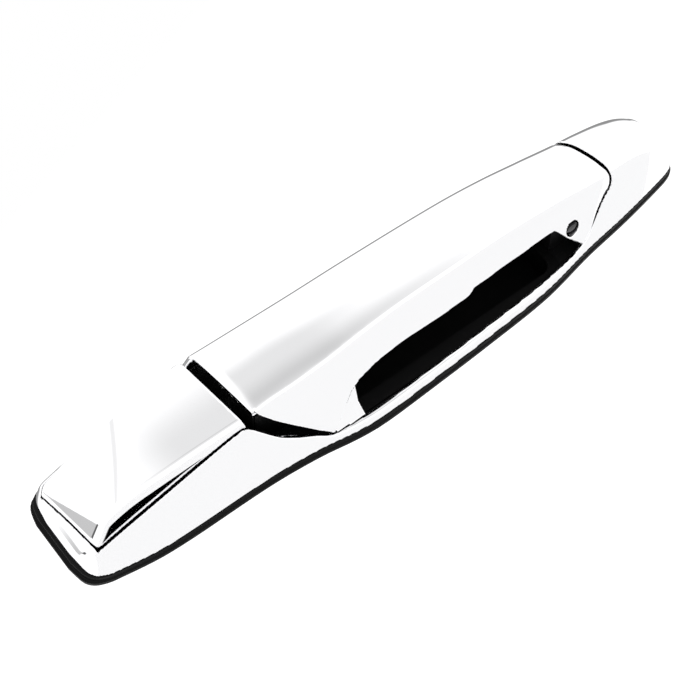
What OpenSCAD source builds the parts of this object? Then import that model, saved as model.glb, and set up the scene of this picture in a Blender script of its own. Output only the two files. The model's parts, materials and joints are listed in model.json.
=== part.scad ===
// Exterior door handle, pull-strap type with a blank end cap, for a right-hand side door.
// X runs along the handle towards its hinge, -Y points out of the door and +Z is up.
// Y = 0 is the door skin, and the origin is midway between the two mounting studs.

/* [Bezel] */
// Thickness of the door gasket, which lifts the bezel's rim off the door
gasket_t = 5; // [4:0.5:6]
// Wall of the chromed mouldings
wall = 2.4; // [2:0.1:2.6]
// How far the gasket shows beyond the bezel's rim
gasket_show = 0.6; // [0.4:0.1:1.2]
// Height of the rim strip under the finger pocket
strip_h = 2.2; // [1.8:0.1:2.5]
// Gap between the strap's hinge end and its socket
socket_gap = 0.9; // [0.8:0.1:1.2]
// The same gap where the strap's lower flank meets the bezel
low_gap = 0.4; // [0.3:0.1:0.8]

/* [Strap] */
// Distance of the hinge pin from the origin along X
hinge_x = 78; // [77:0.5:79]
// Height of the hinge pin above the rim
hinge_h = 14.5; // [14:0.25:15]
// Radius of the hinge pin
pin_r = 2.5; // [2:0.1:2.8]
// Width of the gap between the end cap and the strap
cap_gap = 3.8; // [3:0.2:5]
// Height of the strap's finger edge above the rim
finger_h = 17.4; // [16:0.2:18]

/* [Finger pocket] */
// Depth of the pocket's floor behind the door skin
pocket_depth = 9; // [8:0.5:10]
// Left and right ends of the tub
tub_x = [-32, 70]; // [-34:1:72]
// Lower and upper walls of the tub
tub_z = [-20, 19]; // [-21:1:20]

/* [Bellcrank] */
// Depth of the bellcrank's pin behind the door skin
crank_y = 10; // [9:0.5:11]
// Height of the bellcrank's pin
crank_z = -7; // [-8:0.5:-6]
// Length of the arm that the strap pulls
input_arm = 22.5; // [22:0.1:23]
// Tilt of that arm into the door at rest, half of its full swing
input_tilt = 30; // [28:1:32]
// Reach of the arm that holds the rod clip
output_arm = 18; // [17:0.5:19]
// Coils of the bellcrank's torsion spring
spring_turns = 3; // [2:1:3]

/* [Mounting] */
// Distance of each mounting stud from the origin
stud_x = 104; // [102:0.5:106]
// Radius of a stud
stud_r = 3; // [2.5:0.5:4]
// Depth of a stud's end behind the door skin
stud_end = 24; // [20:1:28]
// Radius of the hole for the latch rod
rod_r = 2.1; // [1.6:0.1:2.3]

/* [Hidden] */
$fn = 48;
big = 400;

// Edge curves of the handle's outside, as [x, value] at each place where an edge turns.
low_edge = [[-136, -8], [-135, -14], [-133.5, -17.2], [-131, -19.2], [-127, -20.6], [-107, -23.4],
    [-65, -24], [-45, -25.6], [-30, -28], [-19, -28.8], [5, -27.9], [30, -26.6], [60, -24.3],
    [85, -19.6], [105, -16.7], [125, -13], [132, -11.2], [135, -9], [136, -6]];
high_edge = [[-136, 12], [-135, 16.5], [-133, 19.8], [-129, 21.8], [-118, 23.4], [-100, 26.6],
    [-80, 29.2], [-60, 30.2], [0, 30], [50, 28.6], [85, 25.5], [105, 22], [122, 17], [131, 12],
    [135, 7], [136, 3]];
crease_z = [[-136, -7], [-134, -11], [-131, -14.2], [-128, -15.4], [-100, -15.8], [-70, -15.6],
    [-61, -13.6], [-45, -13.3], [-30, -12.7], [-15, -11.4], [2, -10.4], [30, -10], [50, -9.8],
    [75, -10.6], [92, -11.4], [100, -10.3], [110, -9.2], [126, -8.4], [131, -7.6], [136, -5.5]];
crease_h = [[-136, 0.6], [-134, 6], [-131, 10.6], [-127, 11.8], [-100, 19.6], [-80, 25.4], [-70, 28],
    [-61, 29.3], [-45, 29.6], [-20, 30], [20, 30], [50, 29.7], [75, 28.8], [92, 27.4], [100, 26.2],
    [110, 24], [118, 21.4], [125, 18], [130, 14.4], [134, 7], [136, 0.6]];
top_z = [[-136, 12], [-134, 15.5], [-131, 17.4], [-118, 18.4], [-100, 19.2], [-80, 19.6], [-70, 19.2],
    [-61, 18.4], [-30, 17.5], [0, 17.2], [40, 16.2], [60, 14.8], [75, 13.2], [92, 11.6], [102, 11.4],
    [118, 11], [126, 9.6], [131, 7.4], [136, 3]];
top_h = [[-136, 0.6], [-134, 6], [-131, 10.6], [-127, 11.8], [-100, 19.6], [-80, 25.4], [-70, 28],
    [-61, 29.3], [-20, 29.6], [50, 29.2], [75, 28.2], [92, 26.8], [100, 25.8], [110, 23.8],
    [118, 21.4], [125, 18.2], [130, 14.6], [134, 7], [136, 0.6]];

// Places along X where the outside is cut into sections.
stations = [-136, -135, -134, -132.5, -131, -127, -117, -107, -94, -80, -70, -61, -50, -40, -30, -19,
    -5, 10, 30, 50, 65, 75, 85, 92, 96, 100, 105, 110, 116, 121, 125, 128, 130, 132, 134, 135, 136];

// Radius of the strap's hinge end about the pin at each height Z, from the lower edge up.
hinge_end = [[0, -26], [11.2, -25], [11.2, -16.4], [12.6, -14.8], [17, -13], [21, -11.7],
    [23.2, -10], [23.2, -6], [22.8, -2.5], [22, 1.5], [20.6, 6.5], [18.2, 11], [15, 15.5], [12, 19.5],
    [8, 24], [0, 28]];

// Finger opening under the strap, seen along Z as [x, height].
finger_opening = [[-38, -8], [-37.9, 3.2], [-31.8, 10], [-27, 14.7], [-22.5, 16.9], [-15, 18.2],
    [-4, finger_h + 1.2], [14, finger_h + 0.5], [27, finger_h + 0.3], [29.6, finger_h + 0.9],
    [31, finger_h + 1.8], [66, finger_h + 1.9], [69.5, finger_h + 1.6], [71, 17.4], [75.4, 11.5],
    [80.5, 5.8], [83.5, 2], [84.5, -8]];

// Z at which the finger opening ends, inside the strap's upper flank.
opening_top = 14;

// Smooth curve through a list of [x, value].
function span_at(x, p, i = 0) = (i >= len(p) - 2 || x < p[i + 1][0]) ? i : span_at(x, p, i + 1);
function slope_at(p, i) =
    let (a = max(i - 1, 0), b = min(i + 1, len(p) - 1)) (p[b][1] - p[a][1]) / (p[b][0] - p[a][0]);
function curve(x, p) =
    let (i = span_at(x, p), w = p[i + 1][0] - p[i][0], t = (x - p[i][0]) / w)
    (2 * t ^ 3 - 3 * t ^ 2 + 1) * p[i][1] + (t ^ 3 - 2 * t ^ 2 + t) * slope_at(p, i) * w
    + (3 * t ^ 2 - 2 * t ^ 3) * p[i + 1][1] + (t ^ 3 - t ^ 2) * slope_at(p, i + 1) * w;

// Z of the lower and upper flanks at a height above the rim.
function lower_flank(x, h) =
    curve(x, low_edge) + (curve(x, crease_z) - curve(x, low_edge)) * h / curve(x, crease_h);
function upper_flank(x, h) =
    curve(x, high_edge) + (curve(x, top_z) - curve(x, high_edge)) * h / curve(x, top_h);

function toward(a, b, d) = a + (b - a) * min(d / norm(b - a), 0.45);
function bend(a, b, c, n) = [for (i = [0:n]) let (t = i / n) (1 - t) ^ 2 * a + 2 * t * (1 - t) * b + t ^ 2 * c];

// One section across the handle, from the lower rim over the top to the upper rim.
// inset moves every wall inwards and drop lowers the open foot.
function section(x, inset = 0, drop = 0) =
    let (side = 1.12 * inset,
        foot_a = [min(curve(x, low_edge) + side, 0), -drop],
        edge_b = [curve(x, crease_z) + 0.65 * inset, max(curve(x, crease_h) - inset, 0.3 - drop)],
        edge_c = [curve(x, top_z) - 0.65 * inset, max(curve(x, top_h) - inset, 0.3 - drop)],
        foot_d = [max(curve(x, high_edge) - side, 1), -drop],
        crown = (edge_b + edge_c) / 2 + [0, 1.6 * min(curve(x, crease_h) / 30, 1)],
        b1 = toward(edge_b, foot_a, 1.6), b2 = toward(edge_b, crown, 1.6),
        c1 = toward(edge_c, crown, 4.5), c2 = toward(edge_c, foot_d, 4.5))
    concat([foot_a], bend(b1, edge_b, b2, 2), [(b2 + 2 * crown + c1) / 4], bend(c1, edge_c, c2, 4), [foot_d]);

// Plan outline of the rim, moved outwards by grow, and further at the left end by nose.
outline_x = concat([-136, -135.6], [for (x = stations) if (x > -136 && x < 136) x], [135.6, 136]);
rim_points = concat([for (x = outline_x) [x, curve(x, low_edge)]],
    [for (i = [len(outline_x) - 1:-1:0]) [outline_x[i], curve(outline_x[i], high_edge)]]);
function rim_normal(i) =
    let (n = len(rim_points), d = rim_points[(i + 1) % n] - rim_points[(i + n - 1) % n])
    [d[1], -d[0]] / norm(d);
function grown_rim(grow, nose = 0) =
    [for (i = [0:len(rim_points) - 1]) let (p = rim_points[i])
        p + grow * rim_normal(i) - [nose * max(0, min(1, (-p[0] - 127) / 8)), 0]];

// Frames: on_rim gives x, z and the height above the rim; along_z turns about a vertical pin.
module on_rim() rotate([90, 0, 0]) translate([0, 0, gasket_t]) children();
module along_z(z0, z1) translate([0, 0, z0]) linear_extrude(z1 - z0) children();
module at_hinge() translate([hinge_x, -gasket_t - hinge_h, 0]) children();
module at_crank(x0, x1) translate([x0, crank_y, crank_z]) rotate([90, 0, 90]) linear_extrude(x1 - x0) children();
// A vertical prism whose outline is drawn as [x, height above the rim].
module side_prism(z0, z1, points) along_z(z0, z1) polygon([for (p = points) [p[0], -gasket_t - p[1]]]);

module outside(inset = 0, drop = 0) {
    rings = [for (x = stations) [for (p = section(x, inset, drop)) [x, p[0], p[1]]]];
    n = len(rings[0]);
    last = len(rings) - 1;
    on_rim() polyhedron(points = [for (r = rings) each r], faces = concat(
        [[for (j = [n - 1:-1:0]) j]],
        [for (i = [0:last - 1], j = [0:n - 1]) [i * n + j, (i + 1) * n + (j + 1) % n, (i + 1) * n + j]],
        [for (i = [0:last - 1], j = [0:n - 1]) [i * n + j, i * n + (j + 1) % n, (i + 1) * n + (j + 1) % n]],
        [[for (j = [0:n - 1]) last * n + j]]));
}

// The strap's hinge end, and the space its socket needs.
function end_gap(z, grow) = grow == socket_gap && z < -9 ? low_gap : grow;
module hinge_round(grow = 0) at_hinge() rotate_extrude($fn = 96) polygon([for (p = hinge_end)
    [p[0] == 0 ? 0 : p[0] + end_gap(p[1], grow), p[1] + (p[0] == 0 ? sign(p[1]) * grow : 0)]]);

// The strap's space: its upper part ends square at the gap beside the cap, its lower flank ends along
// a slanting edge, and both meet the round hinge end. The gap leans over by gap_lean.
gap_lean = 6.5;
gap_foot = [-63.4, -12];
flank_z = -12.6;
strap_edge = [[gap_foot[0] + 0.8, 29.4], [-60.7, 26.3], [-55.3, 19.5], [-43.4, 7.8], [-38, 3.2]];
bezel_edge = [[gap_foot[0] - 3.6, 28.4], [-65.8, 24.9], [-57.1, 13.7], [-50.5, 8.8], [-43.6, 5.2],
    [-40.2, 3.2], [-38, strip_h]];
module lean_gap() translate([gap_foot[0], 0, gap_foot[1]]) rotate([0, -gap_lean, 0])
    translate([-gap_foot[0], 0, -gap_foot[1]]) children();
module strap_space(edge, floor_h, gap = 0, side_gap = 0) {
    left = gap_foot[0] - side_gap;
    intersection() {
        union() {
            difference() {
                side_prism(flank_z - gap / 2, 60, [[-90, 60], [-90, floor_h], [120, floor_h], [120, 60]]);
                lean_gap() translate([left - 60, -big / 2, -60]) cube([60, big, 120]);
            }
            side_prism(-60, flank_z, concat([[edge[0][0], 60]], edge, [[120, floor_h], [120, 60]]));
        }
        union() {
            translate([-100, -big / 2, -60]) cube([100 + hinge_x, big, 120]);
            hinge_round(gap);
        }
    }
}
module strap_clearance() strap_space(bezel_edge, strip_h, socket_gap, cap_gap);

// Screw with a pan head behind the chassis, pointing out of the door.
chassis_back = -1.6;
chassis_t = 2.8;
module screw(x, z, length, r = 1.5, head_r = 2.8) translate([x, chassis_back, z]) rotate([90, 0, 0]) {
    translate([0, 0, -1.5]) cylinder(h = 1.5, r = head_r);
    cylinder(h = length, r = r);
}
module post(x, z, h0, h1, r) on_rim() translate([x, z, h0]) cylinder(h = h1 - h0, r = r);
module rounded(x0, x1, z0, z1, r) {
    translate([x0 + r, z0]) square([x1 - x0 - 2 * r, z1 - z0]);
    translate([x0, z0 + r]) square([x1 - x0, z1 - z0 - 2 * r]);
    for (x = [x0 + r, x1 - r], z = [z0 + r, z1 - r]) translate([x, z]) circle(r);
}
// A plate or a hole parallel to the door, drawn as [x, z], between two depths Y.
module plate(y0, y1) translate([0, y1, 0]) rotate([90, 0, 0]) linear_extrude(y1 - y0) children();

bezel_screws_at = [[-88, -17.6, 7], [-88, 21.6, 7], [118, -5, 13], [118, 6, 13]];
cap_screws_at = [[-84, 3, 20], [-120, 2, 14]];
cup_screws_at = [[-30, 21.5], [20, 22.5], [66, 20.9]];
front = -gasket_t + 0.4;

// Sloping ledge between the shoulder and the finger pocket, from above and from the side.
ledge_plan = [[-36.5, -30], [-24.2, -30], [-24.2, -25.1], [-23.9, -20.1], [-22.1, -16.1], [-21.5, -10],
    [-21.5, -4], [-36.5, -4]];
ledge_side = [[-37, 1], [-37, 3], [-31.3, 8.8], [-26.6, 13], [-20, 13], [-20, 1]];
ledge_slope = 0.6;
ledge_t = 2;
cap_plan = [[-129, -15], [-60, -15], [-60, 19.4], [-78, 19.3], [-98, 17.8], [-121, 17.4], [-130, 16.6], [-132.6, 14.6]];

// Everything above a plane through p that climbs by slope_x and slope_z.
module above(p, slope_x, slope_z) on_rim() translate(p)
    rotate([atan(slope_z * cos(atan(slope_x))), -atan(slope_x), 0])
    translate([-big / 2, -big / 2, 0]) cube([big, big, 60]);

module bezel() color("gainsboro") {
    difference() {
        outside();
        difference() {
            outside(wall, 1);
            intersection() {
                hinge_round(socket_gap + wall);
                translate([hinge_x + 8, -gasket_t - 4.6 - big, -60]) cube([60, big, 120]);
            }
        }
        strap_clearance();
        on_rim() translate([0, 0, -2]) linear_extrude(60) offset(delta = 0.3) polygon(cap_plan);
        hinge_round(socket_gap);
    }
    difference() {
        intersection() {
            side_prism(-40, 0, ledge_side);
            on_rim() linear_extrude(20) polygon(ledge_plan);
            above([0, -24.5, strip_h - 0.1 - ledge_t], 0, ledge_slope);
            outside(1, 2);
        }
        above([0, -24.5, strip_h - 0.1], 0, ledge_slope);
    }
    for (s = bezel_screws_at) difference() {
        intersection() {
            post(s[0], s[1], -0.4, 20, 2.4);
            outside(1, 2);
        }
        post(s[0], s[1], -1, s[2], 1.5);
    }
}

module cap_solid(inset = 0) {
    difference() {
        intersection() {
            on_rim() linear_extrude(28.6 - inset) offset(delta = -inset) polygon(cap_plan);
            lean_gap() translate([gap_foot[0] - cap_gap - inset - big, -big / 2, -60]) cube([big, big, 120]);
        }
        above([-95, 17, 29 - 1.2 * inset], 0.481, -0.271);
        above([-128.3, -15, 14.6 - 2.4 * inset], 2.06, 0.14);
    }
}
module rear_cap() color("whitesmoke") {
    difference() {
        cap_solid();
        translate([0, 1, 0]) cap_solid(wall);
    }
    for (s = cap_screws_at) difference() {
        intersection() {
            post(s[0], s[1], 0, 29, 3.2);
            cap_solid(1);
        }
        post(s[0], s[1], -1, s[2], 1.5);
    }
}

// The finger opening, and the wall that closes the pull end beside it.
module grip_shell() color("white") {
    difference() {
        intersection() {
            outside();
            strap_space(strap_edge, 3.2);
        }
        side_prism(-60, opening_top, finger_opening);
        difference() {
            intersection() {
                outside(wall, 1);
                union() {
                    translate([-90, -big / 2, -60]) cube([90 + hinge_x, big, 120]);
                    hinge_round(-wall);
                }
            }
            side_prism(-60, opening_top, concat([for (p = finger_opening) if (p[0] < -14) p + [-1.8, 1.4]], [[-14, -8]]));
        }
        translate([hinge_x, -gasket_t - hinge_h, -30]) cylinder(h = 25, r = 3.2);
    }
    for (x = [-50, 10, 52]) difference() {
        intersection() {
            post(x, 2, x < 0 ? 21.5 : finger_h + 3, 40, 2.8);
            outside(1, 1);
        }
        post(x, 2, 18, 26, 1.2);
    }
}

liner_x = [-14, -8, 0, 10, 20, 28, 40, 52, 66];
module grip_liner() color("#202022") {
    difference() {
        union() {
            on_rim() translate([0, 0, finger_h + 1]) linear_extrude(2) polygon(concat(
                [for (x = liner_x) [x, lower_flank(x, finger_h + 3) + 3.1]],
                [for (i = [len(liner_x) - 1:-1:0]) [liner_x[i], upper_flank(liner_x[i], finger_h + 3) - 3.1]]));
            for (z = [-8, 11]) on_rim() translate([-45, z, finger_h + 3]) cube([107, 1.6, 4.6]);
            lean_gap() on_rim() translate([gap_foot[0] + 0.7, -11.8, 3.8]) cube([2, 27.6, 22]);
            on_rim() translate([gap_foot[0] + 1.5, -12.2, 3.4]) cube([20.5, 2, 20.6]);
            on_rim() translate([-44, -12.2, finger_h + 3]) cube([2, 24, 3.4]);
            on_rim() translate([60, -5.8, finger_h + 1]) cube([hinge_x - 60, 13.6, 3.6]);
            at_hinge() along_z(-5.8, 7.8) circle(6.5);
        }
        at_hinge() along_z(-7, 9) circle(3.55);
        for (x = [10, 52]) post(x, 2, finger_h, finger_h + 6, 1.6);
    }
}
module grip_screws() color("dimgray") for (x = [10, 52]) {
    post(x, 2, finger_h - 0.4, finger_h + 1, 2.8);
    post(x, 2, finger_h + 1, 25.5, 1.2);
}

module pocket_cup() color("#141415") {
    difference() {
        union() {
            plate(front - 1.2, front) intersection() {
                rounded(tub_x[0] - 4, tub_x[1] + 1.5, -23.6, 24.8, 4);
                polygon(grown_rim(-3.6));
            }
            plate(front - 1, pocket_depth) rounded(tub_x[0], tub_x[1], tub_z[0], tub_z[1], 6);
        }
        plate(front - 2, pocket_depth - 2) rounded(tub_x[0] + 2, tub_x[1] - 2, tub_z[0] + 2, tub_z[1] - 2, 4.5);
        for (s = cup_screws_at) post(s[0], s[1], -2, 5, 1.6);
    }
}
module cup_screws() color("dimgray") for (s = cup_screws_at) translate([s[0], front - 1.2, s[1]])
    rotate([-90, 0, 0]) {
        translate([0, 0, -1.2]) cylinder(h = 1.2, r = 2.3);
        cylinder(h = 1.2 + chassis_t, r = 1.5);
    }

leg_window = [-66, -39, 4.8, 20.5];
ear_z = [[-11, -7], [9, 13]];
bracket_x = [[-66, -63.4], [-40.6, -38]];
shoulder_r = stud_r + 0.5;
rib_length = 74;
chassis_outline = [for (p = grown_rim(-2.9)) [0.998 * p[0], 0.988 * p[1]]];
module chassis() color("#2b2b2e") {
    difference() {
        union() {
            plate(front, front + chassis_t) polygon(chassis_outline);
            for (e = ear_z) along_z(e[0], e[1]) union() {
                translate([hinge_x, -gasket_t - hinge_h]) circle(6);
                translate([hinge_x - 6, -gasket_t - hinge_h]) square([12, hinge_h + 1]);
            }
            for (b = bracket_x) {
                at_crank(b[0], b[1]) circle(5.5);
                translate([b[0], chassis_back - 0.5, crank_z - 5.5]) cube([b[1] - b[0], crank_y - chassis_back, 11]);
            }
            for (z = [tub_z[0] - 1.8, tub_z[1] + 0.3]) translate([tub_x[0], chassis_back - 0.5, z])
                cube([rib_length, 6, 1.5]);
            for (x = [-stud_x, stud_x]) plate(front - 3, front + 0.5) translate([x, 0]) circle(5.5);
        }
        plate(front - 5, 5) rounded(tub_x[0] - 0.3, tub_x[1] + 0.3, tub_z[0] - 0.3, tub_z[1] + 0.3, 6.3);
        plate(front - 5, 5) rounded(leg_window[0], leg_window[1], leg_window[2], leg_window[3], 2);
        at_hinge() along_z(-30, 30) circle(pin_r);
        at_crank(-80, -30) circle(pin_r);
        for (s = bezel_screws_at) plate(-12, 5) translate([s[0], s[1]]) circle(1.6);
        for (s = cap_screws_at) plate(-12, 5) translate([s[0], s[1]]) circle(1.6);
        for (s = cup_screws_at) plate(-12, 5) translate([s[0], s[1]]) circle(1.5);
        for (x = [-stud_x, stud_x]) plate(-12, 5) translate([x, 0]) circle(shoulder_r);
    }
}
module bezel_screws() color("dimgray") for (s = bezel_screws_at) screw(s[0], s[1], s[2]);
module cap_screws() color("dimgray") for (s = cap_screws_at) screw(s[0], s[1], s[2] > 15 ? 12 : 10);

module door_gasket() color("#101011") {
    difference() {
        union() {
            plate(-gasket_t / 2, 0) polygon(grown_rim(gasket_show, 1.8));
            plate(-gasket_t, -gasket_t / 2) polygon(grown_rim(gasket_show - 0.5, 1));
        }
        plate(-gasket_t - 1, 1) polygon(grown_rim(-2.9));
    }
}
module gap_seal() color("#0c0c0d") lean_gap()
    translate([gap_foot[0] - cap_gap + 0.4, -gasket_t - 17, -13.5]) cube([cap_gap - 1.2, 17.3, 31]);
module bump_stops() color("#1b1b1c") for (z = [-16, -3]) post(-40.4, z, -0.4, 2.6, 2.6);

module mounting_studs() color("silver") for (x = [-stud_x, stud_x]) {
    plate(front - 4.5, front - 3) translate([x, 0]) circle(5.2, $fn = 6);
    plate(front - 3, 0) translate([x, 0]) circle(shoulder_r);
    plate(-0.1, stud_end) translate([x, 0]) circle(stud_r);
}
module stud_seals() color("#161617") for (x = [-stud_x, stud_x]) plate(chassis_back, 0) translate([x, 0])
    difference() {
        circle(7);
        circle(shoulder_r);
    }

module hinge_pin() color("silver") at_hinge() {
    along_z(-14.8, 14.6) circle(pin_r);
    translate([0, 0, -15.2]) cylinder(h = 0.4, r1 = pin_r - 0.5, r2 = pin_r);
}
module e_clip() difference() {
    circle(4.6);
    circle(pin_r);
    translate([0, -1.5]) square([6, 3]);
}
module hinge_clip() color("silver") at_hinge() along_z(13.2, 14) e_clip();
module hinge_bushes() color("ivory") at_hinge() for (b = [[-5.8, -1, -6.6], [3, 7.8, 7.8]]) difference() {
    union() {
        along_z(b[0], b[1]) circle(3.5);
        along_z(b[2], b[2] + 0.8) circle(4.6);
    }
    along_z(-10, 10) circle(pin_r + 0.05);
}

leg_x = [-59, -56.6];
hook_y = [25.3, 28];
module pull_leg() color("silver") {
    translate([leg_x[0], -gasket_t - 21.5, 8]) cube([leg_x[1] - leg_x[0], hook_y[1] + gasket_t + 21.5, 10]);
    translate([leg_x[0], hook_y[0], 8]) cube([13, hook_y[1] - hook_y[0], 10]);
    difference() {
        translate([leg_x[0], -gasket_t - 21.5, -6]) cube([12, 2.4, 24]);
        post(-50, 2, 10, 30, 1.4);
    }
}
module pull_leg_screws() color("dimgray") {
    post(-50, 2, 17.7, 19.1, 2.6);
    post(-50, 2, 19.1, 25.5, 1.2);
}

tip = [input_arm * sin(input_tilt), input_arm * cos(input_tilt)];
rod_end = [16, 8] * output_arm / norm([16, 8]);
weight_at = [-3, -9];
module link(end, end_r) hull() {
    circle(5.6, $fn = 24);
    translate(end) circle(end_r, $fn = 24);
}
module bellcrank() color("dimgray") {
    difference() {
        union() {
            at_crank(-62.9, -41.1) circle(5);
            at_crank(-48.6, -46.2) link(tip, 3.4);
            at_crank(-44.4, -41.1) link(rod_end, 4);
            at_crank(-61.5, -59) link(weight_at, 4.4);
        }
        at_crank(-70, -30) circle(3.6);
        at_crank(-70, -30) translate(rod_end) circle(2.5);
        at_crank(-70, -30) translate(tip) circle(1.5);
        at_crank(-70, -30) translate(weight_at) circle(1.5);
    }
}
module contact_roller() color("ivory") {
    at_crank(-55.4, -48.9) translate(tip) circle(3);
    at_crank(-48.9, -46.2) translate(tip) circle(1.5);
    at_crank(-46.2, -45.4) translate(tip) circle(2.4);
}
module bellcrank_bush() color("ivory") difference() {
    at_crank(-63.2, -40.8) circle(3.55);
    at_crank(-70, -30) circle(pin_r + 0.05);
}
module bellcrank_pin() color("silver") {
    at_crank(-68, -38) circle(pin_r);
    at_crank(-38, -36.8) circle(3.6);
}
module bellcrank_clip() color("silver") at_crank(-67, -66.2) rotate(180) e_clip();
module counterweight() color("slategray") difference() {
    at_crank(-59, -54) translate(weight_at) circle(4.2);
    at_crank(-70, -30) translate(weight_at) circle(1.5);
}
module counterweight_rivets() color("silver") {
    at_crank(-62.7, -61.5) translate(weight_at) circle(2.6);
    at_crank(-61.5, -54) translate(weight_at) circle(1.5);
    at_crank(-54, -53) translate(weight_at) circle(2.4);
}

// Torsion spring round the bellcrank's barrel: one leg on the chassis, one on the input arm.
spring_r = 6.2;
wire_r = 0.5;
spring_x = [-49.3, -52.9];
function helix(t) = let (a = 90 + 360 * spring_turns * t)
    [spring_x[0] + (spring_x[1] - spring_x[0]) * t, spring_r * cos(a), spring_r * sin(a)];
spring_path = concat([[-47.5, 9.5, 6.1], [spring_x[0], 9.3, 6.15]], [for (i = [0:12 * spring_turns]) helix(i / (12 * spring_turns))],
    [[spring_x[1], -11, spring_r]]);
function unit(v) = v / norm(v);
module wire(path, r, sides = 8) {
    n = len(path);
    rings = [for (i = [0:n - 1]) let (d = unit(path[min(i + 1, n - 1)] - path[max(i - 1, 0)]),
        u = unit(cross(d, [1, 0.02, 0.01])), v = cross(d, u))
        [for (j = [0:sides - 1]) path[i] + r * (cos(360 * j / sides) * u + sin(360 * j / sides) * v)]];
    polyhedron(points = [for (q = rings) each q], faces = concat(
        [[for (j = [sides - 1:-1:0]) j]],
        [for (i = [0:n - 2], j = [0:sides - 1]) [i * sides + j, i * sides + (j + 1) % sides, (i + 1) * sides + j]],
        [for (i = [0:n - 2], j = [0:sides - 1])
            [i * sides + (j + 1) % sides, (i + 1) * sides + (j + 1) % sides, (i + 1) * sides + j]],
        [[for (j = [0:sides - 1]) (n - 1) * sides + j]]));
}
module bellcrank_spring() color("silver") translate([0, crank_y, crank_z]) wire(spring_path, wire_r);

clip_x = [-40.7, -34.7];
module rod_clip() color("ivory") translate([0, rod_end[0], rod_end[1]]) {
    at_crank(-47, -40.7) circle(2.45);
    at_crank(-46.2, -44.7) circle(3.4);
    difference() {
        translate([clip_x[0], crank_y - 4, crank_z - 5]) cube([6, 8, 10]);
        translate([clip_x[0] + 3, crank_y, crank_z - 10]) cylinder(h = 20, r = rod_r);
    }
}

bezel();
rear_cap();
grip_shell();
grip_liner();
grip_screws();
pocket_cup();
cup_screws();
chassis();
bezel_screws();
cap_screws();
door_gasket();
gap_seal();
bump_stops();
mounting_studs();
stud_seals();
hinge_pin();
hinge_clip();
hinge_bushes();
pull_leg();
pull_leg_screws();
bellcrank();
bellcrank_bush();
bellcrank_pin();
bellcrank_clip();
bellcrank_spring();
contact_roller();
counterweight();
counterweight_rivets();
rod_clip();
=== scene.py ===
"""Chromed exterior door handle: smooth skins, materials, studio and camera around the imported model."""
import math

import bpy
import numpy as np
from mathutils import Matrix, Vector
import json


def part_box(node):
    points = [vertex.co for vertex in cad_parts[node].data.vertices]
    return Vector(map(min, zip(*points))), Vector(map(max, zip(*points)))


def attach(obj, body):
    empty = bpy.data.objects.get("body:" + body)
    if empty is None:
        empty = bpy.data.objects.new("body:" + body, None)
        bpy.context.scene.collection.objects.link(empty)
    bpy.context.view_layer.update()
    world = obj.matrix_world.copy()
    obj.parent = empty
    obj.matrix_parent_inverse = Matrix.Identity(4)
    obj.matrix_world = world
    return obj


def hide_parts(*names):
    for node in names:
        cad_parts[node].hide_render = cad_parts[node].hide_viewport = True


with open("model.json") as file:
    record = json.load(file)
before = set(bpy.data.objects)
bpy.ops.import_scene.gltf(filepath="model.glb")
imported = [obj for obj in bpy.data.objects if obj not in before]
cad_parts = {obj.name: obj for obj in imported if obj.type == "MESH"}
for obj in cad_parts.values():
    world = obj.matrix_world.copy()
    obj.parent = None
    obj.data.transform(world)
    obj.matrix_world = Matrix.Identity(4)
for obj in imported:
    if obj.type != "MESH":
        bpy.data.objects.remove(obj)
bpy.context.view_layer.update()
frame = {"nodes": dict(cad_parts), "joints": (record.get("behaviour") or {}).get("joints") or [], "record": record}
MM = 0.001

# ---------------------------------------------------------------- sizes, in millimetres
GASKET_T = -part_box("door_gasket")[0].y / MM
HINGE = Vector(frame["joints"][0]["pos_m"]) / MM
HINGE_X = HINGE.x
HINGE_H = -HINGE.y - GASKET_T
HALF_LEN = 136.0
WALL = 2.4
# The outer form: rise of the top's middle, and rounding of its low edge, high edge and open lips.
TOP_CROWN = 0.75
CROWN_FULL_H = 30
LOW_ROUND = 1.5
HIGH_ROUND = 4.2
LIP_ROUND = 0.9
INNER_ROUND = 0.4
# The socket for the strap's hinge end: its gaps, and how far its wall reaches and starts.
SOCKET_GAP = 0.9
LOW_GAP = 0.4
SOCKET_DEPTH = 8
SOCKET_FOOT_H = 3.2
# The end cap, with the gap between it and the strap and the groove round it.
CAP_GAP = 3.8
CAP_TOP_H = 28.6
CAP_LOW_Z = -15.0
CAP_GROOVE = 0.3
# The strap's underside, the strip of bezel below it, and the foot and lean of the gap to the cap.
STRAP_FLOOR_H = 3.2
STRIP_H = 2.2
GAP_FOOT = (-63.4, -12.0)
GAP_LEAN = math.radians(6.5)
FLANK_Z = -12.6
# The finger opening, the wall kept at its left end, and the hole that the pin's end shows in.
OPENING_TOP_Z = 14.0
SCOOP_END_X = -14
SCOOP_WALL = (-1.8, 1.4)
PIN_HOLE_R = 3.2
PIN_HOLE_TOP_Z = -5

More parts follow.
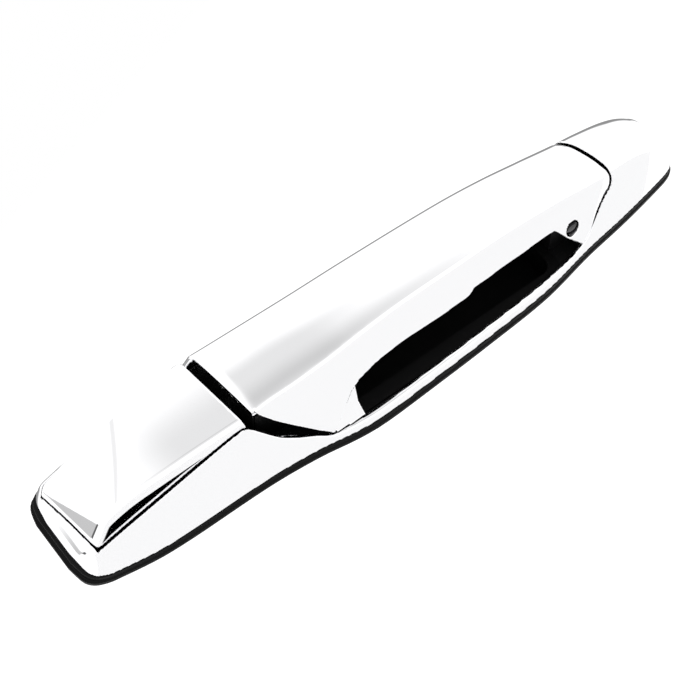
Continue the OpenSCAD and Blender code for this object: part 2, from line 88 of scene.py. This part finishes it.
# The edge curves of the outside, as (x, value) at each place where an edge turns.
LOW_EDGE = [(-136, -8), (-135, -14), (-133.5, -17.2), (-131, -19.2), (-127, -20.6), (-107, -23.4),
            (-65, -24), (-45, -25.6), (-30, -28), (-19, -28.8), (5, -27.9), (30, -26.6), (60, -24.3),
            (85, -19.6), (105, -16.7), (125, -13), (132, -11.2), (135, -9), (136, -6)]
HIGH_EDGE = [(-136, 12), (-135, 16.5), (-133, 19.8), (-129, 21.8), (-118, 23.4), (-100, 26.6),
             (-80, 29.2), (-60, 30.2), (0, 30), (50, 28.6), (85, 25.5), (105, 22), (122, 17),
             (131, 12), (135, 7), (136, 3)]
CREASE_Z = [(-136, -7), (-134, -11), (-131, -14.2), (-128, -15.4), (-100, -15.8), (-70, -15.6),
            (-61, -13.6), (-45, -13.3), (-30, -12.7), (-15, -11.4), (2, -10.4), (30, -10), (50, -9.8),
            (75, -10.6), (92, -11.4), (100, -10.3), (110, -9.2), (126, -8.4), (131, -7.6), (136, -5.5)]
CREASE_H = [(-136, 0.6), (-134, 6), (-131, 10.6), (-127, 11.8), (-100, 19.6), (-80, 25.4), (-70, 28),
            (-61, 29.3), (-45, 29.6), (-20, 30), (20, 30), (50, 29.7), (75, 28.8), (92, 27.4),
            (100, 26.2), (110, 24), (118, 21.4), (125, 18), (130, 14.4), (134, 7), (136, 0.6)]
TOP_Z = [(-136, 12), (-134, 15.5), (-131, 17.4), (-118, 18.4), (-100, 19.2), (-80, 19.6), (-70, 19.2),
         (-61, 18.4), (-30, 17.5), (0, 17.2), (40, 16.2), (60, 14.8), (75, 13.2), (92, 11.6),
         (102, 11.4), (118, 11), (126, 9.6), (131, 7.4), (136, 3)]
TOP_H = [(-136, 0.6), (-134, 6), (-131, 10.6), (-127, 11.8), (-100, 19.6), (-80, 25.4), (-70, 28),
         (-61, 29.3), (-20, 29.6), (50, 29.2), (75, 28.2), (92, 26.8), (100, 25.8), (110, 23.8),
         (118, 21.4), (125, 18.2), (130, 14.6), (134, 7), (136, 0.6)]
# Radius of the strap's hinge end at each height, and the slanting gap's edges, as (height, x).
HINGE_END = [(-40, 11.2), (-16.4, 11.2), (-14.8, 12.6), (-13, 17), (-11.7, 21), (-10, 23.2), (-6, 23.2),
             (-2.5, 22.8), (1.5, 22), (6.5, 20.6), (11, 18.2), (15.5, 15), (19.5, 12), (24, 8), (40, 6)]
STRAP_EDGE = [(-8, -34), (3.2, -38), (7.8, -43.4), (19.5, -55.3), (26.3, -60.7), (29.4, -62.6), (40, -68)]
BEZEL_EDGE = [(-8, -30), (2.2, -38), (3.2, -40.2), (5.2, -43.6), (8.8, -50.5), (13.7, -57.1),
              (24.9, -65.8), (28.4, -67), (40, -68)]
# The finger opening under the strap, as (x, height).
FINGER_OPENING = [(-38, -9), (-37.9, 3.2), (-31.8, 10), (-27, 14.7), (-22.5, 16.9), (-15, 18.2),
                  (-4, 18.6), (14, 17.9), (27, 17.7), (29.6, 18.3), (31, 19.2), (66, 19.3),
                  (69.5, 19), (71, 17.4), (75.4, 11.5), (80.5, 5.8), (83.5, 2), (84.5, -9)]
# The sloping ledge between the bezel's shoulder and the finger pocket, as (x, z) and as (x, height).
LEDGE_PLAN = [(-36.5, -30), (-24.2, -30), (-24.2, -25.1), (-23.9, -20.1), (-22.1, -16.1), (-21.5, -10),
              (-21.5, -4), (-36.5, -4)]
LEDGE_SIDE = [(-37, 1), (-37, 3), (-31.3, 8.8), (-26.6, 13), (-20, 13), (-20, 1)]
# Planes as a point (x, z, height) on them, the climb per unit of x and the climb per unit of z.
LEDGE_TOP = ((0, -24.5, 2.1), 0, 0.6)
LEDGE_UNDERSIDE = ((0, -24.5, 0.1), 0, 0.6)
LEDGE_SET_IN = 0.5
CAP_SLOPE = ((-95, 17, 29), 0.481, -0.271)
CAP_END_FACET = ((-128.3, -15, 14.6), 2.06, 0.14)
# The cap's crown falls away from its peak (x, z) with the square of the distance, by these amounts.
CAP_PEAK = (-75, -5)
CAP_CROWN = (0.0007, 0.0008)
CAP_SLOPE_ROUND = 2.4
CAP_FACET_ROUND = 1.0
CAP_LOW_ROUND = 4.0
CAP_HIGH_ROUND = 2.6
# The end cap's plan and its upper edge, as (x, z).
CAP_PLAN = [(-129, -15), (-50, -15), (-50, 19.4), (-78, 19.3), (-98, 17.8), (-121, 17.4),
            (-130, 16.6), (-132.6, 14.6)]
CAP_HIGH = [(-133, 16.4), (-121, 17.4), (-98, 17.8), (-78, 19.3), (-50, 19.4)]


# ---------------------------------------------------------------- shapes as fields, negative inside
def curve(x, points):
    """Smooth curve through a list of (x, value)."""
    xs, vs = np.array(points, float).T
    last = len(xs) - 1
    before = np.maximum(np.arange(last + 1) - 1, 0)
    after = np.minimum(np.arange(last + 1) + 1, last)
    slopes = (vs[after] - vs[before]) / (xs[after] - xs[before])
    x = np.clip(x, xs[0], xs[-1])
    i = np.clip(np.searchsorted(xs, x, side="right") - 1, 0, last - 1)
    w = xs[i + 1] - xs[i]
    t = (x - xs[i]) / w
    return ((2 * t ** 3 - 3 * t ** 2 + 1) * vs[i] + (t ** 3 - 2 * t ** 2 + t) * slopes[i] * w
            + (3 * t ** 2 - 2 * t ** 3) * vs[i + 1] + (t ** 3 - t ** 2) * slopes[i + 1] * w)


def both(a, b, blend=0.0):
    """Where two fields overlap, with the edge between them rounded by blend."""
    if blend == 0.0:
        return np.maximum(a, b)
    near = np.maximum(blend - np.abs(a - b), 0) / blend
    return np.maximum(a, b) + near * near * blend / 4


def either(a, b, blend=0.0):
    """The two fields joined, with the corner between them filled by blend."""
    return -both(-a, -b, blend)


def polygon_field(u, v, points):
    """Distance to a closed outline in a plane."""
    u, v = np.broadcast_arrays(u, v)
    best = np.full(u.shape, 1e9)
    inside = np.zeros(u.shape, bool)
    for (au, av), (bu, bv) in zip(points, points[1:] + points[:1]):
        eu, ev = bu - au, bv - av
        t = np.clip(((u - au) * eu + (v - av) * ev) / (eu * eu + ev * ev), 0, 1)
        best = np.minimum(best, (u - au - t * eu) ** 2 + (v - av - t * ev) ** 2)
        if av != bv:
            inside ^= ((av > v) != (bv > v)) & (u < eu * (v - av) / ev + au)
    return np.where(inside, -1, 1) * np.sqrt(best)


def outside(x, z, h):
    """The handle's outer form, from the rim up."""
    low, high = curve(x, LOW_EDGE), curve(x, HIGH_EDGE)
    cz, ch, tz, th = (curve(x, c) for c in (CREASE_Z, CREASE_H, TOP_Z, TOP_H))
    low_slope, high_slope = (cz - low) / ch, (high - tz) / th
    lower = (low + low_slope * h - z) / np.sqrt(1 + low_slope ** 2)
    upper = (z - high + high_slope * h) / np.sqrt(1 + high_slope ** 2)
    t = (z - cz) / (tz - cz)
    top = h - ch - (th - ch) * t - 4 * TOP_CROWN * np.minimum(ch / CROWN_FULL_H, 1) * t * (1 - t)
    form = both(both(lower, top, LOW_ROUND), upper, HIGH_ROUND)
    return both(form, np.abs(x) - HALF_LEN, 0.6)


def beside_gap(x, z, shift=0.0):
    """Negative on the strap's side of the leaning gap."""
    return shift - (x - GAP_FOOT[0]) * math.cos(GAP_LEAN) - (z - GAP_FOOT[1]) * math.sin(GAP_LEAN)


def hinge_round(x, z, h, grow=0.0):
    """The strap's hinge end, turned about the pin."""
    step = 0.2
    slope = (curve(z + step, HINGE_END) - curve(z - step, HINGE_END)) / (2 * step)
    return (np.hypot(x - HINGE_X, h - HINGE_H) - curve(z, HINGE_END) - grow) / np.sqrt(1 + slope ** 2)


def socket_gap(z):
    """Width of the gap round the hinge end, which narrows on the lower flank."""
    return LOW_GAP + (SOCKET_GAP - LOW_GAP) * np.clip((z + 10) / 4, 0, 1)


def strap_space(x, z, h, edge, floor_h, gap=0.0, side_gap=0.0):
    """The room that the strap takes, or that the bezel leaves for it."""
    over = both(beside_gap(x, z, -side_gap), FLANK_Z - gap / 2 - z)
    slanted = (curve(h, edge) - x) * 0.75
    room = both(either(over, slanted), floor_h - h, 0.5)
    return both(room, either(x - HINGE_X, hinge_round(x, z, h, socket_gap(z) if gap else 0.0)))


def strap_field(x, z, h):
    """The pull strap: a hollow shell, open underneath, with a wall where the fingers slide in."""
    form = outside(x, z, h)
    shell = both(form, strap_space(x, z, h, STRAP_EDGE, STRAP_FLOOR_H), LIP_ROUND)
    opening = both(polygon_field(x, h, FINGER_OPENING), z - OPENING_TOP_Z)
    scoop_wall = [(px + SCOOP_WALL[0], ph + SCOOP_WALL[1]) for px, ph in FINGER_OPENING
                  if px < SCOOP_END_X]
    kept = both(polygon_field(x, h, scoop_wall + [(SCOOP_END_X, -9)]), z - OPENING_TOP_Z)
    hollow = both(form + WALL, either(x - HINGE_X, hinge_round(x, z, h, -WALL)))
    hollow = both(hollow, -kept)
    shell = both(shell, -opening, 0.8)
    shell = both(shell, -hollow, INNER_ROUND)
    pin_hole = both(np.hypot(x - HINGE_X, h - HINGE_H) - PIN_HOLE_R, z - PIN_HOLE_TOP_Z)
    return both(shell, -pin_hole, INNER_ROUND)


def slope_field(x, z, h, at, slope_x, slope_z):
    """Positive above a plane through at, which climbs by the two slopes."""
    rise = at[2] + slope_x * (x - at[0]) + slope_z * (z - at[1])
    return (h - rise) / math.sqrt(1 + slope_x ** 2 + slope_z ** 2)


def ledge_field(x, z, h):
    """The sloping slab in the bezel beside the pocket."""
    slab = both(slope_field(x, z, h, *LEDGE_TOP), -slope_field(x, z, h, *LEDGE_UNDERSIDE))
    return both(both(polygon_field(x, z, LEDGE_PLAN), slab, 0.6), polygon_field(x, h, LEDGE_SIDE), 0.4)


def bezel_field(x, z, h):
    """The chromed frame round the strap and the cap, with the socket for the hinge end."""
    form = outside(x, z, h)
    socket_back = both(HINGE_X + SOCKET_DEPTH - x, SOCKET_FOOT_H - h)
    socket_wall = both(hinge_round(x, z, h, SOCKET_GAP + WALL), socket_back)
    shell = both(form, -both(form + WALL, -socket_wall), INNER_ROUND)
    clearance = strap_space(x, z, h, BEZEL_EDGE, STRIP_H, SOCKET_GAP, CAP_GAP)
    shell = both(shell, -clearance, LIP_ROUND)
    shell = both(shell, CAP_GROOVE - polygon_field(x, z, CAP_PLAN), 0.5)
    shell = both(shell, -hinge_round(x, z, h, socket_gap(z)), INNER_ROUND)
    shell = either(shell, both(ledge_field(x, z, h), form + LEDGE_SET_IN))
    return both(shell, -h, INNER_ROUND)


def cap_form(x, z, h):
    """The end cap's outer form: a crowned top, a long slope and a steep facet at the tip."""
    crowned = (h - CAP_TOP_H + CAP_CROWN[0] * (x - CAP_PEAK[0]) ** 2
               + CAP_CROWN[1] * (z - CAP_PEAK[1]) ** 2)
    top = both(crowned, slope_field(x, z, h, *CAP_SLOPE), CAP_SLOPE_ROUND)
    top = both(top, slope_field(x, z, h, *CAP_END_FACET), CAP_FACET_ROUND)
    top = both(top, CAP_LOW_Z - z, CAP_LOW_ROUND)
    top = both(top, z - np.interp(x, *np.transpose(CAP_HIGH)), CAP_HIGH_ROUND)
    sides = both(polygon_field(x, z, CAP_PLAN), -beside_gap(x, z, -CAP_GAP), 0.6)
    return both(top, sides, 1.0)


def cap_field(x, z, h):
    """The end cap, hollow from behind."""
    form = cap_form(x, z, h)
    return both(both(form, -both(form + WALL, -1.0 - h), INNER_ROUND), -h, 0.3)


def rim_outline(grow, nose):
    """Plan outline of the rim, moved outwards by grow, and further at the left end by nose."""
    xs = np.concatenate([np.linspace(-HALF_LEN, -125, 23), np.linspace(-122, 122, 62),
                         np.linspace(125, HALF_LEN, 23)])
    ring = np.concatenate([np.stack([xs, curve(xs, LOW_EDGE)], 1),
                           np.stack([xs, curve(xs, HIGH_EDGE)], 1)[::-1]])
    along = np.roll(ring, -1, 0) - np.roll(ring, 1, 0)
    normal = np.stack([along[:, 1], -along[:, 0]], 1) / np.linalg.norm(along, axis=1)[:, None]
    ring = ring + grow * normal
    ring[:, 0] -= nose * np.clip((-ring[:, 0] - 127) / 8, 0, 1)
    return [tuple(p) for p in ring]


FOOT_OUTLINE = rim_outline(grow=0.6, nose=1.8)
LIP_OUTLINE = rim_outline(grow=0.1, nose=1.0)
HOLE_OUTLINE = rim_outline(grow=-2.9, nose=0)


def gasket_field(x, z, h):
    """The seal: a ring with a rounded foot and a thinner lip at the rim."""
    foot = both(both(polygon_field(x, z, FOOT_OUTLINE), h + GASKET_T / 2), -GASKET_T - h, 0.8)
    lip = both(both(polygon_field(x, z, LIP_OUTLINE), h, 0.5), -GASKET_T - h)
    return both(either(foot, lip, 0.5), -polygon_field(x, z, HOLE_OUTLINE), 0.3)


# ---------------------------------------------------------------- meshes from fields
CORNERS = np.array([(i, j, k) for i in (0, 1) for j in (0, 1) for k in (0, 1)])
CELL_EDGES = [(a, b) for a in range(8) for b in range(a + 1, 8)
              if abs(CORNERS[a] - CORNERS[b]).sum() == 1]
# Grid planes worked out at a time, moves of each point onto the surface, and the normals' sampling step.
SLAB_CELLS = 40
SETTLE_ROUNDS = 3
NORMAL_STEP = 0.05


def surface_points(values, low, cell):
    """One point in each cell that the surface passes through, and the cells' numbers."""
    inside = values < 0
    span = np.array(inside.shape) - 1
    count = sum(inside[i:span[0] + i, j:span[1] + j, k:span[2] + k].astype(np.int8) for i, j, k in CORNERS)
    cells = np.argwhere((count > 0) & (count < 8))
    at_corner = [values[tuple((cells + c).T)] for c in CORNERS]
    total, hits = np.zeros((len(cells), 3)), np.zeros(len(cells))
    for a, b in CELL_EDGES:
        va, vb = at_corner[a], at_corner[b]
        crossed = (va < 0) != (vb < 0)
        t = np.where(crossed, va / np.where(crossed, va - vb, 1), 0)
        total += crossed[:, None] * (CORNERS[a] + t[:, None] * (CORNERS[b] - CORNERS[a]))
        hits += crossed
    number = np.full(count.shape, -1)
    number[tuple(cells.T)] = np.arange(len(cells))
    return low + (cells + total / hits[:, None]) * cell, number


def surface_quads(values, number):
    """A quad round each grid line that the surface crosses."""
    inside = values < 0
    quads = []
    for axis in range(3):
        first, second = (axis + 1) % 3, (axis + 2) % 3
        here = np.take(inside, np.arange(inside.shape[axis] - 1), axis)
        there = np.take(inside, np.arange(1, inside.shape[axis]), axis)
        at = np.argwhere(here != there)
        at = at[(at[:, first] > 0) & (at[:, second] > 0)]
        at = at[(at[:, first] < inside.shape[first] - 1) & (at[:, second] < inside.shape[second] - 1)]
        steps = np.zeros((4, 3), int)
        steps[1, first] = steps[2, first] = steps[2, second] = steps[3, second] = -1
        quad = np.stack([number[tuple((at + s).T)] for s in steps], 1)
        outward = here[tuple(at.T)]
        quad[~outward] = quad[~outward][:, ::-1]
        quads.append(quad)
    return np.concatenate(quads)


def field_gradient(field, points, step=0.02):
    """How fast the field grows along each axis at each point."""
    shifts = np.eye(3) * step
    slopes = [field(*(points + s).T) - field(*(points - s).T) for s in shifts]
    return np.stack(slopes, 1) / (2 * step)


def turned(rows):
    """Rows of (x, z, height) as rows in the frame, where height runs along -Y."""
    return np.stack([rows[:, 0], -rows[:, 2], rows[:, 1]], 1)


def skin(name, field, low, high, cell, material, body, node):
    """A smooth closed mesh where the field is zero, standing for a CAD node."""
    low = np.array(low, float) - 1.5 * cell
    axes = [low[i] + np.arange(math.ceil((high[i] - low[i]) / cell) + 2) * cell for i in range(3)]
    x, z, h = np.meshgrid(*axes, indexing="ij", sparse=True)
    values = np.concatenate([field(x[i:i + SLAB_CELLS], z, h) for i in range(0, len(axes[0]), SLAB_CELLS)])
    points, number = surface_points(values, low, cell)
    quads = surface_quads(values, number)
    for _ in range(SETTLE_ROUNDS):
        slope = field_gradient(field, points)
        size = np.linalg.norm(slope, axis=1)
        move = field(*points.T) / np.maximum(size, 0.2)
        points -= np.clip(move, -cell / 2, cell / 2)[:, None] * slope / size[:, None]
    normals = field_gradient(field, points, NORMAL_STEP)
    normals /= np.linalg.norm(normals, axis=1)[:, None]
    corners = (turned(points) - (0, GASKET_T, 0)) * MM
    mesh = bpy.data.meshes.new(name)
    mesh.vertices.add(len(corners))
    mesh.vertices.foreach_set("co", corners.ravel())
    mesh.loops.add(quads.size)
    mesh.loops.foreach_set("vertex_index", quads.ravel())
    mesh.polygons.add(len(quads))
    mesh.polygons.foreach_set("loop_start", np.arange(0, quads.size, 4))
    mesh.update(calc_edges=True)
    mesh.polygons.foreach_set("use_smooth", np.ones(len(quads), bool))
    mesh.normals_split_custom_set_from_vertices(turned(normals))
    mesh.materials.append(material)
    piece = bpy.data.objects.new(name, mesh)
    bpy.context.scene.collection.objects.link(piece)
    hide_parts(node)
    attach(piece, body)


# ---------------------------------------------------------------- materials
GRAIN_DEPTH = 0.0004


def plain(name, colour, metallic, roughness, bump=0.0, bump_size=400.0, specular=0.5):
    """A principled material, with a fine grain if bump is given."""
    made = bpy.data.materials.new(name)
    made.use_nodes = True
    nodes, links = made.node_tree.nodes, made.node_tree.links
    shader = nodes["Principled BSDF"]
    shader.inputs["Base Color"].default_value = (*colour, 1)
    shader.inputs["Metallic"].default_value = metallic
    shader.inputs["Roughness"].default_value = roughness
    shader.inputs["Specular IOR Level"].default_value = specular
    if bump:
        grain = nodes.new("ShaderNodeTexNoise")
        grain.inputs["Scale"].default_value = bump_size
        place = nodes.new("ShaderNodeTexCoord")
        raised = nodes.new("ShaderNodeBump")
        raised.inputs["Strength"].default_value = bump
        raised.inputs["Distance"].default_value = GRAIN_DEPTH
        links.new(place.outputs["Object"], grain.inputs["Vector"])
        links.new(grain.outputs["Fac"], raised.inputs["Height"])
        links.new(raised.outputs["Normal"], shader.inputs["Normal"])
    return made


CHROME = plain("bright_chrome", (0.93, 0.93, 0.94), 1.0, 0.045)
RUBBER = plain("seal_rubber", (0.0015, 0.0015, 0.0016), 0.0, 0.5, specular=0.12)
MATERIALS = {
    "bezel_chrome": CHROME,
    "strap_chrome": CHROME,
    "cap_chrome": CHROME,
    "black_plastic": plain("black_plastic", (0.0015, 0.0015, 0.0016), 0.0, 0.55, specular=0.1),
    "glass_filled": plain("glass_filled_nylon", (0.004, 0.004, 0.0043), 0.0, 0.5, 0.3, specular=0.15),
    "black_oxide": plain("black_oxide_steel", (0.02, 0.02, 0.021), 1.0, 0.3),
    "seal_rubber": RUBBER,
    "zinc_steel": plain("zinc_plate", (0.6, 0.61, 0.62), 1.0, 0.32, 0.15, 900.0),
    "screw_steel": plain("dark_screw_steel", (0.2, 0.2, 0.21), 1.0, 0.38),
    "spring_steel": plain("spring_steel", (0.42, 0.42, 0.44), 1.0, 0.25),
    "cast_zinc": plain("cast_zinc", (0.46, 0.47, 0.48), 0.9, 0.45, 0.35, 500.0),
    "natural_nylon": plain("natural_nylon", (0.78, 0.76, 0.68), 0.0, 0.35),
}


def dress_cad(record):
    """Gives every CAD node the material of its slot."""
    for row in record["subparts"]:
        mesh = frame["nodes"][row["node"]].data
        mesh.materials.clear()
        mesh.materials.append(MATERIALS[row["material_slot"]])


# ---------------------------------------------------------------- studio
# Soft dark cards round the white studio: direction, half width, half height, soft edge and darkness.
# Widths are in units of distance, as the sine of the angle.
CARDS = {
    "behind_and_below": ((0.20, 0.89, -0.41), 0.16, 0.20, 0.14, 1.0),
    "above_and_behind": ((0.30, 0.58, 0.76), 0.60, 0.16, 0.14, 0.75),
    "behind_left": ((-0.26, 0.88, 0.39), 0.06, 0.06, 0.06, 0.5),
    "front_low": ((0.25, -0.95, 0.20), 0.10, 0.07, 0.12, 0.26),
    "front": ((0.22, -0.91, 0.36), 0.05, 0.06, 0.10, 0.30),
    "left": ((-0.81, 0.475, 0.35), 0.06, 0.05, 0.04, 0.5),
    "low_left": ((-0.88, 0.40, 0.22), 0.05, 0.05, 0.05, 0.9),
    "up_left": ((-0.36, -0.55, 0.75), 0.03, 0.05, 0.06, 0.22),
}


WHITE_STRENGTH = 1.22
FLOOR_HALF = 1.2
FLOOR_Z = -0.9


class Studio:
    """The world's nodes: white all round, dimmed where a card stands."""

    def __init__(self):
        world = bpy.data.worlds.new("studio")
        world.use_nodes = True
        bpy.context.scene.world = world
        self.nodes, self.links = world.node_tree.nodes, world.node_tree.links
        self.toward = self.nodes.new("ShaderNodeTexCoord").outputs["Generated"]

    def maths(self, kind, a, b):
        """Output of a Math node on two numbers or sockets."""
        node = self.nodes.new("ShaderNodeMath")
        node.operation = kind
        for socket, value in zip(node.inputs, (a, b)):
            if hasattr(value, "is_linked"):
                self.links.new(value, socket)
            else:
                socket.default_value = value
        return node.outputs[0]

    def along(self, axis):
        """How far the looked-at direction points along an axis."""
        node = self.nodes.new("ShaderNodeVectorMath")
        node.operation = "DOT_PRODUCT"
        self.links.new(self.toward, node.inputs[0])
        node.inputs[1].default_value = axis
        return node.outputs["Value"]

    def fade(self, value, start, end):
        """0 up to start and 1 past end, smoothly."""
        node = self.nodes.new("ShaderNodeMapRange")
        node.interpolation_type = "SMOOTHSTEP"
        self.links.new(value, node.inputs["Value"])
        node.inputs["From Min"].default_value = start
        node.inputs["From Max"].default_value = end
        return node.outputs["Result"]

    def card(self, direction, half_width, half_height, soft, darkness):
        """How much light passes a card in that direction."""
        centre = Vector(direction).normalized()
        side = Vector((0, 0, 1)).cross(centre).normalized()
        rise = centre.cross(side)
        covered = self.fade(self.along(centre), 0.0, 0.2)
        for axis, half in ((side, half_width), (rise, half_height)):
            off = self.maths("ABSOLUTE", self.along(axis), 0.0)
            covered = self.maths("MULTIPLY", covered, self.fade(off, half + soft, half))
        return self.maths("SUBTRACT", 1.0, self.maths("MULTIPLY", covered, darkness))

    def light(self, strength):
        """Lights the scene; the camera itself sees plain white."""
        passed = 1.0
        for card in CARDS.values():
            passed = self.maths("MULTIPLY", passed, self.card(*card))
        seen = self.nodes.new("ShaderNodeLightPath").outputs["Is Camera Ray"]
        level = self.maths("MAXIMUM", self.maths("MULTIPLY", passed, strength), seen)
        self.links.new(level, self.nodes["Background"].inputs["Strength"])
        self.nodes["Background"].inputs["Color"].default_value = (1, 1, 1, 1)


def studio():
    """The lit world and a pale floor."""
    Studio().light(WHITE_STRENGTH)
    bpy.context.scene.view_settings.view_transform = "Standard"
    mesh = bpy.data.meshes.new("floor")
    corners = [(-FLOOR_HALF, -FLOOR_HALF), (FLOOR_HALF, -FLOOR_HALF), (FLOOR_HALF, FLOOR_HALF),
               (-FLOOR_HALF, FLOOR_HALF)]
    mesh.from_pydata([(x, y, FLOOR_Z) for x, y in corners], [], [(0, 1, 2, 3)])
    mesh.materials.append(plain("pale_floor", (0.95, 0.95, 0.95), 0.0, 0.9))
    floor = bpy.data.objects.new("floor", mesh)
    bpy.context.scene.collection.objects.link(floor)


def camera():
    """The camera looks at the handle from outside the door, from below and behind."""
    back = Vector((-0.3044, -0.8660, -0.3967)).normalized()
    right = Vector((0.7934, 0.0, -0.6088)).normalized()
    up = back.cross(right)
    look_at, distance = Vector((-0.01223, -0.005, 0.0)), 0.64648
    data = bpy.data.cameras.new("camera")
    data.lens = 92.57
    data.sensor_width = 36.0
    data.clip_start, data.clip_end = 0.01, 50.0
    made = bpy.data.objects.new("camera", data)
    turn = Matrix((right, up, back)).transposed()
    made.matrix_world = Matrix.Translation(look_at + back * distance) @ turn.to_4x4()
    bpy.context.scene.collection.objects.link(made)
    bpy.context.scene.camera = made


dress_cad(frame["record"])
skin("bezel_skin", bezel_field, (-136, -29, 0), (136, 31, 30), 0.5, CHROME,
     "root", "bezel")
skin("strap_skin", strap_field, (-67, -26, 2), (102, 31, 31), 0.5, CHROME,
     "strap", "grip_shell")
skin("cap_skin", cap_field, (-133, -16, 0), (-62, 20, 29), 0.45, CHROME,
     "root", "rear_cap")
skin("gasket_skin", gasket_field, (-140, -31, -5), (138, 32, 0), 0.5, RUBBER,
     "root", "door_gasket")
studio()
camera()
